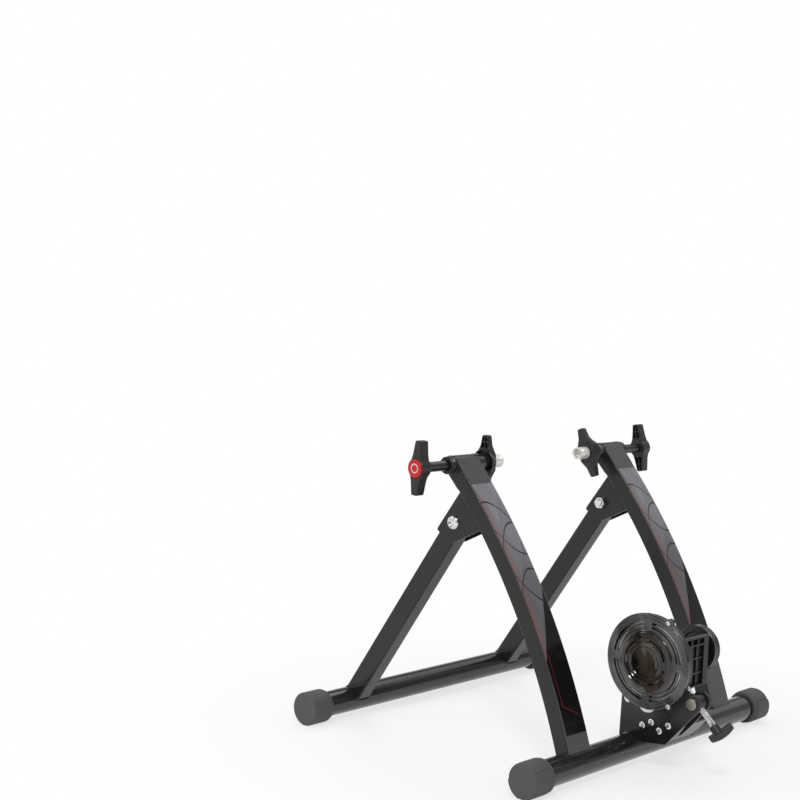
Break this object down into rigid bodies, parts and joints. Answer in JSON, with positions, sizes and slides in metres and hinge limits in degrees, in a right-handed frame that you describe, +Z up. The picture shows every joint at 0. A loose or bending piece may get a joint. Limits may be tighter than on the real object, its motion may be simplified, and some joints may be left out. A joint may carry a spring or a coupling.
{
  "type": "bicycle trainer",
  "caption": "Folding rear-wheel bicycle trainer with bowed legs, screw axle clamps and a tilting magnetic resistance unit.",
  "frame": {"origin": "centre of the bounding box, on the floor", "axes": "+Z up, +Y towards the front of the bicycle, +X to the rider's right; the clamp axis runs along X"},
  "size_m": [0.56, 0.5814, 0.4326],
  "materials": {
    "frame_paint": "gloss",
    "foot_rubber": "matte",
    "bright_steel": "zinc plated",
    "grip_plastic": "satin",
    "cover_plastic": "gloss",
    "casting": "black coated",
    "trunnion_brass": "turned",
    "roller_alloy": "turned",
    "handle_red": "gloss",
    "magnet": "nickel plated"
  },
  "bodies": {
    "frame": {"rear_base_tube": "frame_paint", "rear_foot_left": "foot_rubber", "rear_foot_right": "foot_rubber", "rear_leg_left": "frame_paint", "rear_leg_right": "frame_paint", "pivot_bracket_left": "frame_paint", "pivot_bracket_right": "frame_paint", "pivot_bolt_left": "bright_steel", "pivot_bolt_right": "bright_steel", "pivot_nut_left": "bright_steel", "pivot_nut_right": "bright_steel", "head_barrel_left": "frame_paint", "head_barrel_right": "frame_paint", "head_bush_left": "grip_plastic", "head_bush_right": "grip_plastic", "unit_bracket": "frame_paint", "bracket_screw_1": "bright_steel", "bracket_screw_2": "bright_steel", "bracket_screw_3": "bright_steel", "bracket_screw_4": "bright_steel", "stop_screw": "bright_steel", "cradle_bolt": "bright_steel", "cradle_nut": "bright_steel", "trunnion": "trunnion_brass"},
    "front_frame": {"front_base_tube": "frame_paint", "front_foot_left": "foot_rubber", "front_foot_right": "foot_rubber", "front_leg_left": "frame_paint", "front_leg_right": "frame_paint"},
    "clamp_cup_left": {"cup_left": "bright_steel"},
    "clamp_cup_right": {"cup_right": "bright_steel"},
    "clamp_screw_group_left": {"clamp_screw_left": "bright_steel", "t_handle_left": "grip_plastic", "handle_disc_left": "handle_red"},
    "clamp_screw_group_right": {"clamp_screw_right": "bright_steel", "t_handle_right": "grip_plastic", "handle_disc_right": "handle_red"},
    "wing_nut_left": {"lock_nut_left": "grip_plastic"},
    "wing_nut_right": {"lock_nut_right": "grip_plastic"},
    "unit": {"cradle": "casting", "bearing_left": "bright_steel", "bearing_right": "bright_steel", "housing": "grip_plastic", "cover": "cover_plastic", "cover_screw_upper": "bright_steel", "cover_screw_lower": "bright_steel", "magnet_plate": "magnet"},
    "rotor": {"roller_shaft": "bright_steel", "roller": "roller_alloy", "brake_disc": "roller_alloy", "flywheel": "casting", "flywheel_nut": "bright_steel"},
    "adjuster_tip": {"thrust_tip": "bright_steel"},
    "adjuster_screw": {"adjuster_rod": "bright_steel", "adjuster_knob": "grip_plastic"}
  },
  "joints": [
    {"name": "fold", "type": "hinge", "parent": "frame", "child": "front_frame", "pos_m": [0, 0.06896, 0.3151], "axis": [1, 0, 0], "range_deg": [-61, 0]},
    {"name": "clamp_travel_left", "type": "slide", "parent": "frame", "child": "clamp_cup_left", "axis": [1, 0, 0], "range_m": [0, 0.04]},
    {"name": "clamp_turn_left", "type": "hinge", "parent": "clamp_cup_left", "child": "clamp_screw_group_left", "pos_m": [0, 0.07246, 0.3946], "axis": [1, 0, 0], "range_deg": [0, 7201]},
    {"name": "lock_nut_turn_left", "type": "hinge", "parent": "frame", "child": "wing_nut_left", "pos_m": [0, 0.07246, 0.3946], "axis": [-1, 0, 0], "range_deg": [0, 180]},
    {"name": "clamp_travel_right", "type": "slide", "parent": "frame", "child": "clamp_cup_right", "axis": [-1, 0, 0], "range_m": [0, 0.04]},
    {"name": "clamp_turn_right", "type": "hinge", "parent": "clamp_cup_right", "child": "clamp_screw_group_right", "pos_m": [0, 0.07246, 0.3946], "axis": [-1, 0, 0], "range_deg": [0, 7201]},
    {"name": "lock_nut_turn_right", "type": "hinge", "parent": "frame", "child": "wing_nut_right", "pos_m": [0, 0.07246, 0.3946], "axis": [1, 0, 0], "range_deg": [0, 180]},
    {"name": "unit_tilt", "type": "hinge", "parent": "frame", "child": "unit", "pos_m": [0, -0.16955, 0.0906], "axis": [1, 0, 0], "range_deg": [-4, 12]},
    {"name": "rotor_spin", "type": "hinge", "parent": "unit", "child": "rotor", "pos_m": [0, -0.17905, 0.1513], "axis": [1, 0, 0], "continuous": true},
    {"name": "adjuster_travel", "type": "slide", "parent": "frame", "child": "adjuster_tip", "axis": [0, 0.7193, 0.6947], "range_m": [-0.01216, 0.00406]},
    {"name": "adjuster_turn", "type": "hinge", "parent": "adjuster_tip", "child": "adjuster_screw", "pos_m": [-0.0385, -0.23855, 0.1031], "axis": [0, 0.7193, 0.6947], "range_deg": [-3500, 1168]}
  ],
  "couplings": [
    {"joint": "clamp_turn_left", "follows": "clamp_travel_left", "rad_per_m": 3141.6},
    {"joint": "clamp_turn_right", "follows": "clamp_travel_right", "rad_per_m": 3141.6},
    {"joint": "adjuster_travel", "follows": "unit_tilt", "m_per_rad": -0.058},
    {"joint": "adjuster_turn", "follows": "unit_tilt", "ratio": -291.54}
  ]
}
